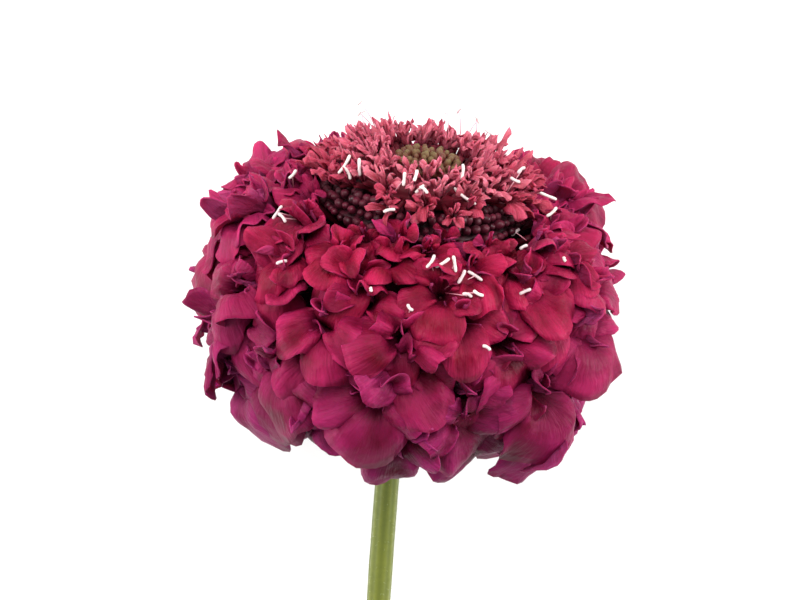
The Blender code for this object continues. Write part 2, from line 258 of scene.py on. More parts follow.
class ShoulderHabit(RayHabit):
    """The single florets that stand upright on the shoulders."""

    pitch = ((10, 30), (10, 30), (8, 28))
    scale = ((0.90, 1.05), (0.90, 1.10), (1.0, 1.25))
    roll = 15
    heading = 10
    widen = (1.40, 1.70)
    rounding = (0.55, 0.70)
    fold = (0.045, 0.090)
    crumple = 0.00040
    thickness = 0.9
    trumpet = 0.10


LOBE_KIND = (2, 1, 0, 1, 2)


class LobeCut:
    """How one lobe is cut, turned, folded and crimped, on top of the floret's own form."""

    def __init__(self, draw, habit, lobe):
        kind = LOBE_KIND[lobe]
        self.pitch = math.radians(draw.uniform(*habit.pitch[kind]))
        self.scale = draw.uniform(*habit.scale[kind])
        self.roll = math.radians(draw.uniform(-habit.roll, habit.roll))
        self.heading = math.radians(draw.uniform(-habit.heading, habit.heading))
        self.widen = draw.uniform(*habit.widen)
        self.rounding = draw.uniform(*habit.rounding)
        self.channel = draw.uniform(-0.16, 0.20)
        if draw.random() < 0.07:
            self.channel = draw.uniform(0.25, 0.38)
        self.recurve = draw.uniform(-0.14, 0.22)
        self.folds = draw.uniform(1.6, 3.2)
        self.fold_phase = draw.uniform(0, FULL_TURN)
        self.fold_height = draw.uniform(*habit.fold)
        self.crimps = draw.uniform(2.6, 4.6)
        self.crimp_phase = draw.uniform(0, FULL_TURN)
        self.crimp_height = draw.uniform(*habit.crimp)
        self.scallops = draw.choice((2, 3, 4))
        self.scallop_phase = draw.uniform(0, FULL_TURN)
        self.scallop_depth = draw.uniform(0.03, 0.09)
        self.crumple = habit.crumple
        self.trumpet = habit.trumpet
        self.tint = draw.uniform(-1, 1)
        self.patch = (draw.randrange(60), draw.randrange(60))


class Shell:
    """Closed pieces gathered into one mesh, with the values that their finish reads at each point."""

    def __init__(self, *names):
        self.names = names
        self.points = []
        self.faces = []
        self.values = {name: [] for name in names}
        self.places = []
        self.count = 0

    def add(self, solid, values, places=None):
        """Adds a solid of points and faces. A value that isn't given is 0."""
        points, faces = solid
        self.points.append(points)
        self.faces += [group + self.count for group in faces]
        for name in self.names:
            value = np.asarray(values.get(name, 0), float).reshape(-1)
            self.values[name].append(np.broadcast_to(value, (len(points),)))
        self.places.append(np.zeros((len(points), 2)) if places is None else places)
        self.count += len(points)

    def make(self, name, move=None):
        """The mesh object in the row frame."""
        points = np.concatenate(self.points)
        if move is not None:
            points = points @ move[:3, :3].T + move[:3, 3]
        loops = np.concatenate([group.reshape(-1) for group in self.faces])
        sizes = np.concatenate([np.full(len(group), group.shape[1]) for group in self.faces])
        mesh = bpy.data.meshes.new(name)
        mesh.vertices.add(len(points))
        mesh.vertices.foreach_set("co", points.astype(np.float32).reshape(-1))
        mesh.loops.add(len(loops))
        mesh.loops.foreach_set("vertex_index", loops.astype(np.int32))
        mesh.polygons.add(len(sizes))
        mesh.polygons.foreach_set("loop_start", (np.cumsum(sizes) - sizes).astype(np.int32))
        mesh.update(calc_edges=True)
        places = np.concatenate(self.places)
        layer = mesh.uv_layers.new(name="surface")
        layer.data.foreach_set("uv", places[loops].astype(np.float32).reshape(-1))
        for key in self.names:
            attribute = mesh.attributes.new(key, "FLOAT", "POINT")
            value = np.concatenate(self.values[key]).astype(np.float32)
            attribute.data.foreach_set("value", value)
        mesh.validate()
        mesh.shade_smooth()
        return new_object(name, mesh)


def new_object(name, data):
    obj = bpy.data.objects.new(name, data)
    bpy.context.scene.collection.objects.link(obj)
    return obj


def smooth(low, high, value):
    share = np.clip((value - low) / (high - low), 0, 1)
    return share * share * (3 - 2 * share)


def unit(vectors):
    return vectors / np.maximum(np.linalg.norm(vectors, axis=-1, keepdims=True), 1e-12)


def head_matrix():
    lay = Matrix.Rotation(-HEAD_LEAN, 4, "Z") @ Matrix.Rotation(RISE - math.pi / 2, 4, "X")
    return Matrix.Translation(HEAD_PLACE) @ lay


HEAD = head_matrix()
HEAD_ARRAY = np.array(HEAD)
HEAD_BACK = np.array(HEAD.inverted())


def from_head(points):
    """Points of the head's own frame in the row frame."""
    return points @ HEAD_ARRAY[:3, :3].T + HEAD_ARRAY[:3, 3]


def keep_above_surface(points):
    """Presses points of the head that would dip below the surface up to it."""
    world = from_head(points)
    world[..., 2] = np.maximum(world[..., 2], PETAL_CLEARANCE)
    return world @ HEAD_BACK[:3, :3].T + HEAD_BACK[:3, 3]


def heading_of(tilt, azimuth):
    """The direction that leans by tilt from +Z towards an azimuth."""
    return (math.sin(tilt) * math.cos(azimuth), math.sin(tilt) * math.sin(azimuth), math.cos(tilt))


def grid(first, second):
    """Two arrays that run over a grid, the first value by rows and the second by columns."""
    return np.meshgrid(first, second, indexing="ij")


def curve(start, knee, end, steps):
    """Points along a curve that bends from start to end towards the knee."""
    share = np.linspace(0, 1, steps)[:, None]
    return (1 - share) ** 2 * start + 2 * (1 - share) * share * knee + share**2 * end


def sheet_solid(middle, half):
    """A thin closed sheet round a grid of middle points, with its upper points first."""
    rows, columns = middle.shape[:2]
    normal = unit(np.cross(np.gradient(middle, axis=0), np.gradient(middle, axis=1)))
    half = np.broadcast_to(np.asarray(half, float), (rows, columns))[..., None]
    upper = middle + normal * half
    lower = middle - normal * half
    points = np.concatenate([upper.reshape(-1, 3), lower.reshape(-1, 3)])
    index = np.arange(rows * columns).reshape(rows, columns)
    near, far = index[:-1, :-1], index[1:, 1:]
    right, left = index[1:, :-1], index[:-1, 1:]
    top = np.stack([near, right, far, left], -1).reshape(-1, 4)
    below = rows * columns
    bottom = top[:, ::-1] + below
    border = [index[:-1, 0], index[-1, :-1], index[1:, -1][::-1], index[0, 1:][::-1]]
    border = np.concatenate(border)
    after = np.roll(border, -1)
    rim = np.stack([border, border + below, after + below, after], -1)
    return points, [top, bottom, rim]


def ring_faces(rings, sides):
    """The faces of a closed solid made of rings of points, with its two end points after them."""
    index = np.arange(rings * sides).reshape(rings, sides)
    following = np.roll(index, -1, axis=1)
    walls = [index[:-1], index[1:], following[1:], following[:-1]]
    first, last = np.full(sides, rings * sides), np.full(sides, rings * sides + 1)
    cap = np.stack([first, index[0], following[0]], -1)
    base = np.stack([last, following[-1], index[-1]], -1)
    return np.stack(walls, -1).reshape(-1, 4), np.concatenate([cap, base])


def tube_solid(route, radii, sides):
    """A closed round tube along a route of points."""
    route = np.asarray(route, float)
    radii = np.broadcast_to(np.asarray(radii, float), (len(route),))
    along = unit(np.gradient(route, axis=0))
    seed = np.array((0.0, 0.0, 1.0)) if abs(along[0][2]) < 0.9 else np.array((1.0, 0.0, 0.0))
    across = unit(np.cross(along, seed))
    for step in range(1, len(route)):
        carried = across[step - 1] - along[step] * np.dot(across[step - 1], along[step])
        across[step] = carried / np.linalg.norm(carried)
    third = np.cross(along, across)
    turn = (np.arange(sides) * FULL_TURN / sides)[None, :, None]
    ring = across[:, None] * np.cos(turn) + third[:, None] * np.sin(turn)
    points = (route[:, None] + ring * radii[:, None, None]).reshape(-1, 3)
    points = np.concatenate([points, route[:1], route[-1:]])
    walls, ends = ring_faces(len(route), sides)
    return points, [walls[:, [0, 3, 2, 1]], ends[:, [0, 2, 1]]]


def turned_solid(profile):
    """A solid turned about +Z from (radius, height) points, with softened corners.

    The profile starts and ends on the axis, top first.
    """
    profile = np.array(profile)
    for _ in range(2):
        cut = [profile[0]]
        for a, b in zip(profile, profile[1:]):
            cut += [0.75 * a + 0.25 * b, 0.25 * a + 0.75 * b]
        profile = np.array([*cut, profile[-1]])
    ring = np.arange(TURNED_SIDES) * FULL_TURN / TURNED_SIDES
    points = [(r * math.cos(a), r * math.sin(a), z) for r, z in profile[1:-1] for a in ring]
    points = np.concatenate([points, [(0, 0, profile[0][1]), (0, 0, profile[-1][1])]])
    return points, ring_faces(len(profile) - 2, TURNED_SIDES)


def crumple(points, amount, scale):
    """A soft uneven shift of points, from a few crossing waves."""
    waves = ((1.0, 0.3, -0.7), (-0.4, 1.1, 0.5), (0.6, -0.8, 1.2), (1.3, 0.9, 0.2))
    shift = 0
    for turn, wave in enumerate(waves):
        shift = shift + np.sin(points @ (np.array(wave) * FULL_TURN / scale) + 1.7 * turn)
    return amount * shift / len(waves)


def lobe_middle(floret, lobe, cut, across, reach):
    """The middle of a lobe's blade, and how far each point is lifted by its folds.

    across runs over the lobe's width from -1 to 1, and reach from the throat to 1 at its end.
    """
    start, end = np.radians(LOBE_ENDS[lobe]), np.radians(LOBE_ENDS[lobe + 1])
    spread = cut.widen * (1 - 0.6 * abs(cut.channel)) * (0.66 + 0.34 * smooth(0.0, 0.45, reach))
    spread = spread * (1 - 0.12 * smooth(0.65, 1, reach))
    aside = (end - start) / 2 * spread * across
    outward = (0.5 + 0.5 * np.cos((start + end) / 2 + 0.45 * aside)) ** 1.2
    edge = smooth(0.7, 1, reach)
    wide = np.clip(across, -1, 1)
    turn = 2 * np.arcsin(wide)
    length = cut.scale * floret.size * (floret.inner + (1 - floret.inner) * outward)
    shoulder = 1 - np.sqrt(np.clip(1 - across**2, 0, 1))
    length = length * (1 - cut.rounding * shoulder * smooth(0.1, 0.9, reach))
    bite = (0.5 + 0.5 * np.cos(cut.scallops * turn + cut.scallop_phase)) ** 2
    length = length * (1 - cut.scallop_depth * bite * edge)
    flare = (0.80 + cut.trumpet) * reach - (0.50 + (floret.droop - 0.50) * outward) * reach**2
    lift, lean = floret.lobe_lift[lobe], floret.lobe_fold[lobe]
    ruffle = (1 - wide**2) * (lift + lean * wide) * reach**1.5
    fold = cut.fold_height * reach**1.6 * np.sin(cut.folds * turn + cut.fold_phase)
    crimp = cut.crimp_height * reach**4 * np.sin(cut.crimps * turn + cut.crimp_phase)
    channel = cut.channel * np.abs(across) ** 1.8 * reach * (1 - 0.35 * reach)
    recurve = -cut.recurve * smooth(0.5, 1, reach) ** 1.5
    step = 0.02 * across * reach
    away = length * reach
    rise = length * flare + ruffle + floret.size * (fold + crimp + channel + recurve + step)
    hinge = smooth(0.04, 0.55, reach)
    pitch, roll = cut.pitch * hinge, cut.roll * hinge * reach
    along = away * np.cos(pitch) - rise * np.sin(pitch)
    rise = away * np.sin(pitch) + rise * np.cos(pitch)
    aside = aside + floret.twist * reach
    beside = along * np.sin(aside)
    along = along * np.cos(aside)
    sink = THROAT_DEPTH * floret.size * (1 - reach) ** 4
    rise = (rise + beside * np.sin(roll) - sink - BLADE / 2)[..., None]
    beside = (beside * np.cos(roll))[..., None]
    angle = ((start + end) / 2 + cut.heading * hinge)[..., None]
    forward = floret.down * np.cos(angle) + floret.side * np.sin(angle)
    sideways = floret.side * np.cos(angle) - floret.down * np.sin(angle)
    points = floret.throat + forward * along[..., None] + sideways * beside + floret.out * rise
    shift = crumple(points, cut.crumple, 0.0050) + crumple(points, 0.42 * cut.crumple, 0.0023)
    shift = shift * reach
    points = points + floret.out * shift[..., None]
    relief = (floret.size * (fold + crimp) + shift) / (0.08 * floret.size)
    return points, relief


PETAL_VALUES = ("reach", "face", "tint", "row", "relief", "side_lit_and_faded")


def add_floret(shell, floret, row, draw, habit, root):
    """The five lobes of one floret and the tube that they grow from."""
    columns, rows = habit.grid
    across = np.sin(np.linspace(-1, 1, columns + 1) * math.pi / 2)
    across, reach = grid(across, 0.06 + 0.94 * np.linspace(0, 1, rows + 1))
    half = PETAL_HALF * habit.thickness * (1 - 0.35 * smooth(0.7, 1, reach))
    floret_tint = draw.uniform(-1, 1)
    # Painted light: florets towards the left and right of the head are painted paler and pinker,
    # standing in for the brighter light on those sides. A few lobes at random are also painted paler,
    # as old petals.
    side_lit_and_faded = abs(math.cos(math.radians(floret.azimuth))) ** 4 * draw.uniform(0.3, 1.0)
    for lobe in range(LOBES):
        cut = LobeCut(draw, habit, lobe)
        middle, relief = lobe_middle(floret, lobe, cut, across, reach)
        middle = keep_above_surface(middle)
        values = {
            "reach": np.tile(reach.reshape(-1), 2),
            "face": np.repeat((1, 0), reach.size),
            "tint": 0.6 * cut.tint + 0.4 * floret_tint,
            "row": row,
            "relief": np.tile(relief.reshape(-1), 2),
            "side_lit_and_faded": max(side_lit_and_faded, 0.9 if draw.random() < 0.02 else 0),
        }
        flat = np.stack([across * 0.5 + cut.patch[0], reach + cut.patch[1]], -1).reshape(-1, 2)
        shell.add(sheet_solid(middle, half), values, np.tile(flat, (2, 1)))
    mouth = floret.throat - floret.out * (MOUTH_DEPTH * floret.size + BLADE / 2)
    knee = mouth * 0.5 + root * 0.5 - floret.out * TUBE_SAG
    radii = TUBE_RADIUS * habit.thickness * (1 - 0.35 * np.linspace(0, 1, TUBE_STEPS))
    tube = tube_solid(curve(mouth, knee, root, TUBE_STEPS), radii, TUBE_SIDES)
    # The tube's reach is 0, so it takes the near-black painted shade of the throats.
    shell.add(tube, {"tint": floret_tint, "row": row})


def ray_root(throat):
    return np.array((throat[0] * RAY_ROOT, throat[1] * RAY_ROOT, 0.55 * throat[2] + 0.0010))


def tuft_root(throat):
    low, high = TUFT_SEAT
    return np.array((throat[0] * TUFT_ROOT, throat[1] * TUFT_ROOT, (low + high) / 2))


def make_tier(name, tiers, habits, first_row, root_of, core=None, singles=()):
    """One piece: some tiers of florets with their fillers, on the core that carries them.

    tiers holds a (tier, filler) pair for each row, and habits a habit for each of the two. core is
    the profile of the solid under the florets, in the piece that holds it. singles are florets that
    stand alone, as (turn, tier). The fillers next to the dark buds leave gaps for them.
    """
    shell = Shell(*PETAL_VALUES)
    if core is not None:
        # The core's reach of 0 and relief of -1 paint it with the near-black painted shade of the
        # throats and of the fold hollows.
        shell.add(turned_solid(core), {"tint": 1, "row": first_row, "relief": -1})
    for row, pair in enumerate(tiers, first_row):
        for between, tier in enumerate(pair):
            for number in range(tier.count):
                floret = Floret(tier, number, row, bool(between))
                beside_buds = between and row in ROWS_BESIDE_BUDS
                if beside_buds and any(low < floret.azimuth < high for low, high in BUD_GAPS):
                    continue
                draw = random.Random(DETAIL_SEED + ROW_SEEDS * row + number + FILLER_SEEDS * between)
                root = root_of(floret.throat)
                add_floret(shell, floret, row + 0.5 * between, draw, habits[between], root)
    for number, (turn, tier) in enumerate(singles):
        floret = Floret(tier, number, first_row + SINGLE_ROWS, turn=turn)
        draw = random.Random(DETAIL_SEED + ROW_SEEDS * (first_row + SINGLE_ROWS) + number)
        add_floret(shell, floret, first_row, draw, ShoulderHabit, root_of(floret.throat))
    return shell.make(name, HEAD_ARRAY)


def bud_solid(radius, stretch, turn):
    """A closed bud: a small ball drawn up a little, creased where its five lobes meet at the tip."""
    polar = np.linspace(0, math.pi, BUD_BANDS + 1)[1:-1]
    polar, around = grid(polar, np.arange(BUD_SIDES) * FULL_TURN / BUD_SIDES)
    crease = np.abs(np.sin(LOBES / 2 * (around + turn)))
    size = radius * (1 - 0.22 * (1 - crease) ** 2 * np.clip(np.cos(polar), 0, 1) ** 0.5)
    flat = size * np.sin(polar)
    points = [flat * np.cos(around), flat * np.sin(around), stretch * size * np.cos(polar)]
    points = np.stack(points, -1).reshape(-1, 3)
    points = np.concatenate([points, [(0, 0, stretch * radius * 0.80), (0, 0, -stretch * radius)]])
    rise = np.concatenate([np.cos(polar).reshape(-1), [1.0, -1.0]])
    return points, ring_faces(BUD_BANDS - 1, BUD_SIDES), rise


def turned_to(direction):
    """The matrix that turns +Z to a direction."""
    return np.array(Vector(direction).to_track_quat("Z", "Y").to_matrix())


def make_buds(name, profile, rings, draw_seed, radius, stretch):
    """Closed buds in rings on their seat, each leaning out with its ring."""
    shell = Shell("rise", "tint")
    # The seat takes the deep colour fully; under the dark buds that is painted shade between them.
    shell.add(turned_solid(profile), {"rise": -1})
    draw = random.Random(draw_seed)
    for ring, (count, ring_radius, height, lean) in enumerate(rings):
        for number in range(count):
            azimuth = FULL_TURN * (number + 0.5 * (ring % 2) + draw.uniform(-0.18, 0.18)) / count
            size = radius * draw.uniform(0.72, 1.14)
            drawn_up = stretch * draw.uniform(0.9, 1.1)
            points, faces, rise = bud_solid(size, drawn_up, draw.uniform(0, 1))
            tilt = math.radians(lean) + math.radians(draw.uniform(-8, 8))
            spot = ring_radius + draw.uniform(-0.00025, 0.00025)
            up = height + draw.uniform(-0.00025, 0.00025)
            place = np.array((spot * math.cos(azimuth), spot * math.sin(azimuth), up))
            points = points @ turned_to(heading_of(tilt, azimuth)).T + place
            shell.add((points, faces), {"rise": rise, "tint": draw.uniform(-1, 1)})
    return shell.make(name, HEAD_ARRAY)


def tree_of(objects):
    """A search tree over the meshes, in the row frame."""
    points, faces = [], []
    for obj in objects:
        base = len(points)
        points += [tuple(vertex.co) for vertex in obj.data.vertices]
        faces += [tuple(base + corner for corner in face.vertices) for face in obj.data.polygons]
    return BVHTree.FromPolygons(points, faces)


# Where the camera looks from, as on the flower that was copied
LOOK_DOWN = math.radians(13.6)
TOWARDS_CAMERA = np.array((0, math.sin(LOOK_DOWN), math.cos(LOOK_DOWN)))
IMAGE_UP = np.array((0, math.cos(LOOK_DOWN), -math.sin(LOOK_DOWN)))
IMAGE_RIGHT = np.array((1.0, 0.0, 0.0))
CAMERA_DISTANCE = 0.3767
CAMERA_PLACE = np.array(HEAD_PLACE) - IMAGE_RIGHT * 0.00099 + IMAGE_UP * 0.00141
CAMERA_PLACE = CAMERA_PLACE + TOWARDS_CAMERA * CAMERA_DISTANCE

ANTHER_RADIUS = 0.00023
ANTHER_LIFT = 0.0004
ANTHER_BEND = 0.00025
ANTHER_SIDES = 10
FILAMENT_RADIUS = 0.00007
FILAMENT_REACH = 0.0034
FILAMENT_SINK = 0.0014
FILAMENT_ARCH = 0.0009
THREAD_RADIUS = 0.00008
THREAD_SIDES = 6
THREAD_FOOT = 22.0
THREAD_SWAY = 0.0022
THREAD_TIP = (0.0012, 0.00016)
# Anthers seen on the head: millimetres right of and above the middle of its widest ring, turn in
# degrees from upright, and length in millimetres
ANTHERS = (
    (-8.9, 20.6, -32, 3.0), (-8.5, 19.3, 28, 1.9), (-6.7, 20.2, 2, 2.4), (-0.4, 18.5, -6, 1.9),
    (1.2, 19.0, -16, 1.6), (1.8, 17.1, -48, 1.6), (2.3, 16.9, 50, 1.4), (7.7, 19.5, -8, 2.2),
    (8.2, 16.1, 53, 3.7), (15.3, 18.4, 64, 1.5), (16.2, 19.7, -50, 1.3), (19.9, 16.1, 68, 2.6),
    (20.4, 13.9, -48, 1.9), (15.3, 11.0, -52, 1.5), (16.5, 8.8, -62, 1.2), (3.3, 6.9, -32, 2.0),
    (5.0, 6.7, -58, 2.2), (6.7, 6.5, 8, 2.2), (7.7, 4.7, -28, 2.0), (9.6, 4.8, 57, 2.3),
    (8.5, 2.0, 72, 1.3), (10.1, 2.4, 62, 1.5), (16.7, 2.6, -66, 1.7), (-16.2, 19.2, -40, 1.6),
    (-18.3, 13.8, -35, 2.2), (-17.7, 13.0, 40, 1.6), (-17.7, 6.7, -75, 1.5), (11.2, -5.4, 60, 1.2),
    (0.5, 0.4, 40, 1.1), (-5.2, 2.9, 10, 0.6), (-2.5, 14.0, -78, 1.6), (22.3, 7.2, 20, 0.7),
)
# Thin threads that stand out above the tuft: azimuth in degrees, radius and length in millimetres,
# and lean in degrees. THREAD_FOOT is in millimetres too.
THREADS = (
    (136, 12.5, 3.2, 18), (131, 11.5, 3.6, 10), (126, 12.5, 3.9, 22), (119, 11.0, 3.7, 14),
    (76, 11.5, 3.7, 12), (69, 12.5, 3.9, 18), (64, 12.0, 3.5, 24), (58, 12.5, 3.8, 16),
    (52, 12.0, 3.3, 26),
)


def capsule(centre, direction, length, radius, bend):
    """A slim rounded bar with a slight bend and waist."""
    share = np.array((-1.0, -0.94, -0.8, -0.5, -0.15, 0.15, 0.5, 0.8, 0.94, 1.0))
    radii = radius * np.array((0.35, 0.72, 0.95, 1.0, 0.88, 0.88, 1.0, 0.95, 0.72, 0.35))
    side = unit(np.cross(direction, TOWARDS_CAMERA + 0.3 * IMAGE_RIGHT))
    away = share[:, None]
    route = centre + away * direction * (length / 2) + side * (bend * (1 - away**2))
    return tube_solid(route, radii, ANTHER_SIDES)


def view_point(right, up):
    """The point of the plane through the head's widest ring that is seen at these millimetres."""
    return np.array(HEAD_PLACE) + IMAGE_RIGHT * right * MM + IMAGE_UP * up * MM


def add_thread(shell, route, radius):
    """A thin thread, with each point's share of the way along it."""
    share = np.repeat(np.linspace(0, 1, len(route)), THREAD_SIDES)
    shell.add(tube_solid(route, radius, THREAD_SIDES), {"share": np.append(share, [0, 1])})


def anther_spots(hit_tree, draw):
    """Where each anther lies in front of the petals, its direction and its length."""
    spots = []
    for right, up, turn, length in ANTHERS:
        angle = math.radians(turn)
        direction = IMAGE_UP * math.cos(angle) - IMAGE_RIGHT * math.sin(angle)
        middle = view_point(right, up)
        ends = [middle + direction * end * length * (MM / 2) for end in (-1, 0, 1)]
        sights = [end - CAMERA_PLACE for end in ends]
        hits = [hit_tree.ray_cast(Vector(CAMERA_PLACE), Vector(sight))[3] for sight in sights]
        hits = [distance for distance in hits if distance is not None]
        if not hits:
            continue
        spot = CAMERA_PLACE + unit(sights[1]) * (min(hits) - ANTHER_LIFT)
        direction = unit(direction + TOWARDS_CAMERA * draw.uniform(-0.10, 0.10))
        spots.append((spot, direction, length * MM))
    return spots


def make_stamens(hit_tree, throats):
    """The pale anthers on the florets, each on a thin filament, and the threads on the tuft."""
    anthers = Shell("tint")
    filaments = Shell("share")
    draw = random.Random(5 * SEED)
    throats = from_head(np.array(throats))
    for spot, direction, length in anther_spots(hit_tree, draw):
        bend = draw.uniform(-ANTHER_BEND, ANTHER_BEND)
        anther = capsule(spot, direction, length, ANTHER_RADIUS, bend)
        anthers.add(anther, {"tint": draw.uniform(-1, 1)})
        throat = throats[np.argmin(np.linalg.norm(throats - spot, axis=1))]
        back = throat - spot
        foot = spot + back * min(1, FILAMENT_REACH / np.linalg.norm(back))
        foot = foot - TOWARDS_CAMERA * FILAMENT_SINK
        knee = (foot + spot) / 2 + TOWARDS_CAMERA * FILAMENT_ARCH
        add_thread(filaments, curve(foot, knee, spot, 14), FILAMENT_RADIUS)
    for azimuth, radius, length, lean in THREADS:
        turn = math.radians(azimuth)
        foot = np.array((radius * math.cos(turn), radius * math.sin(turn), THREAD_FOOT)) * MM
        heading = np.array(heading_of(math.radians(lean), turn))
        sway = np.array((draw.uniform(-1, 1), draw.uniform(-1, 1), 0)) * THREAD_SWAY
        share = np.linspace(0, 1, 12)[:, None]
        route = from_head(foot + heading * (share * length * MM) + sway * share**2)
        add_thread(filaments, route, THREAD_RADIUS)
        direction = unit(np.array((draw.uniform(-1, 1), draw.uniform(-1, 1), 0.4)))
        anther = capsule(route[-1], direction, *THREAD_TIP, 0)
        anthers.add(anther, {"tint": draw.uniform(-1, 1)})
    return anthers.make("anthers"), filaments.make("filaments")


def stem_route():
    """Points along the stem from its top under the head to the cut end, as in the frame."""
    top = np.array(HEAD @ Vector((0, 0, STEM_TOP)))
    along = unit(HEAD_ARRAY[:3, :3] @ np.array((0, 0, -1.0)))
    drop = top[2] - STEM_RADIUS + STEM_FLAT
    level = math.sqrt(STEM_LENGTH**2 - drop**2)
    end = top + np.array((-math.sin(STEM_LEAN) * level, -math.cos(STEM_LEAN) * level, -drop))
    neck = top + along * NECK_BEND
    lead = end + unit(top - end) * (STEM_LENGTH / 3)
    share = np.linspace(0, 1, STEM_STEPS)[:, None]
    rest = 1 - share
    return rest**3 * top + 3 * rest**2 * share * neck + 3 * rest * share**2 * lead + share**3 * end


def make_stem():
    """The ridged stalk with its slanted cut, pressed flat where it lies, and its hairs."""
    route = stem_route()
    away = np.linalg.norm(route - route[0], axis=1)
    radii = STEM_RADIUS * (1 + (NECK_FLARE - 1) * np.maximum(0, 1 - away / NECK_LENGTH) ** 2)
    points, faces = tube_solid(route, radii, STEM_SIDES)
    rings = points[:-2].reshape(STEM_STEPS, STEM_SIDES, 3)
    around = np.arange(STEM_SIDES) * FULL_TURN / STEM_SIDES
    ridge = 0.5 + 0.5 * np.cos(STEM_RIDGES * around)[None, :]
    length = away[:, None]
    swell = 1 + 0.010 * np.sin(length * 260) + 0.006 * np.sin(length * 611 + 1)
    factor = swell * (1 - RIDGE_DEPTH * (1 - ridge))
    rings = route[:, None] + (rings - route[:, None]) * factor[..., None]
    limit = route[-1, 1] + CUT_TRIM - (rings[..., 2] - route[-1, 2]) / math.tan(CUT_SLANT)
    rings[..., 1] = np.maximum(rings[..., 1], limit)
    rings[..., 2] = np.maximum(rings[..., 2], 0)
    end = rings[-1].mean(axis=0)
    points = np.concatenate([rings.reshape(-1, 3), route[:1], [end]])
    shell = Shell("ridge", "along", "cut")
    ridges = np.broadcast_to(ridge, (STEM_STEPS, STEM_SIDES)).reshape(-1)
    values = {
        "ridge": np.append(ridges, [0.5, 0.5]),
        "along": np.append(np.repeat(away / STEM_LENGTH, STEM_SIDES), [0, 1]),
        "cut": np.append(np.zeros(len(points) - 1), 1),
    }
    shell.add((points, faces), values)
    return shell.make("stem.ridged"), make_hairs(route, rings)


def make_hairs(route, rings):
    """Short hairs that stand out of the stem. Each is a slim spike on three corners."""
    hairs = Shell("share")
    draw = random.Random(3 * SEED)
    for _ in range(HAIRS):
        step = draw.randrange(4, STEM_STEPS - 12)
        base = rings[step, draw.randrange(STEM_SIDES)]
        outward = unit(base - route[step])
        length = draw.uniform(*HAIR_LENGTH)
        lean = np.array([draw.uniform(-1, 1) for _ in range(3)]) * HAIR_LEAN
        tip = base + outward * length + lean
        if min(base[2], tip[2]) < HAIR_CLEARANCE:
            continue
        side = unit(np.cross(outward, (0.0, 1.0, 0.2))) * HAIR_RADIUS
        other = np.cross(outward, side)
        foot = base - outward * HAIR_ROOT
        back, aside = foot - 0.5 * side, 0.87 * other
        corners = np.array((foot + side, back + aside, back - aside, tip))
        faces = [np.array([(0, 2, 1), (0, 1, 3), (1, 2, 3), (2, 0, 3)])]
        hairs.add((corners, faces), {"share": (0, 0, 0, 1)})
    return hairs.make("stem.hairs")


def make_involucre():
    """The green disc under the head and its whorl of narrow pointed bracts."""
    low, high = INVOLUCRE_SEAT
    rim = ((0.0062, high), (0.0068, high - 0.0008), (0.0046, low + 0.0010), (0.0026, low))
    shell = Shell("reach", "across")
    shell.add(turned_solid(((0, high), *rim, (0, low))), {})
    draw = random.Random(SEED)
    across, reach = grid(np.linspace(-1, 1, 9), np.linspace(0, 1, 25))
    for number in range(BRACTS):
        azimuth = FULL_TURN * (number + draw.uniform(-0.1, 0.1)) / BRACTS
        length = BRACT_LENGTH * draw.uniform(0.85, 1.1)
        run = 0.0030 + length * reach
        fall = (low + high) / 2 - 0.0030 * reach**2 - BLADE / 2
        width = np.interp(reach, (0, 0.35, 0.7, 1.0), (0.8, 1.0, 0.75, 0.06))
        side = 0.5 * BRACT_WIDTH * width * across
        fall = fall - 0.0003 * (1 - np.abs(across)) + 0.00012 * np.sin(9 * reach + number) * across
        turn = np.array(Matrix.Rotation(azimuth, 3, "Z"))
        half = BRACT_HALF * (1 - 0.5 * reach) * (1 - 0.4 * across**2)
        bract = sheet_solid(np.stack([run, side, fall], -1) @ turn.T, half)
        values = {"reach": np.tile(reach.reshape(-1), 2), "across": np.tile(across.reshape(-1), 2)}
        shell.add(bract, values)
    return shell.make("involucre.fine", HEAD_ARRAY)


def set_or_link(tree, socket, source):
    """Gives a socket a number, a vector or a colour, or links it to the output that source is."""
    if isinstance(source, (int, float)):
        socket.default_value = source
    elif isinstance(source, tuple):
        socket.default_value = (*source, 1) if socket.type == "RGBA" else source
    else:
        tree.links.new(source, socket)


def node(tree, kind, inputs=None, **settings):
    made = tree.nodes.new(kind)
    for name, value in settings.items():
        setattr(made, name, value)
    for name, source in (inputs or {}).items():
        set_or_link(tree, made.inputs[name], source)
    return made


def value_of(tree, name):
    return node(tree, "ShaderNodeAttribute", attribute_name=name).outputs["Fac"]


def mapped(tree, source, low, high, least=0.0, most=1.0):
    """The source's stretch from low to high, moved onto least to most and clamped there."""
    inputs = {"Value": source, "From Min": low, "From Max": high, "To Min": least, "To Max": most}
    return node(tree, "ShaderNodeMapRange", inputs, clamp=True).outputs["Result"]


def sums(tree, operation, first, second):
    return node(tree, "ShaderNodeMath", {0: first, 1: second}, operation=operation).outputs[0]


def weighted(tree, first, much, second, more):
    """The sum of two outputs, each times its weight."""
    first, second = sums(tree, "MULTIPLY", first, much), sums(tree, "MULTIPLY", second, more)
    return sums(tree, "ADD", first, second)


def mixed(tree, share, first, second):
    """The first colour, with a share of the second mixed in."""
    inputs = {0: share, 6: first, 7: second}
    return node(tree, "ShaderNodeMix", inputs, data_type="RGBA").outputs[2]


def noise(tree, vector, scale, detail, rough=0.5):
    inputs = {"Vector": vector, "Scale": scale, "Detail": detail, "Roughness": rough}
    return node(tree, "ShaderNodeTexNoise", inputs).outputs["Fac"]


def streaks(tree, surface, scale, rough):
    """Noise that is drawn out over the surface's own grid."""
    drawn_out = node(tree, "ShaderNodeMapping", {"Vector": surface, "Scale": scale})
    return noise(tree, drawn_out.outputs["Vector"], 1.0, 2.0, rough)


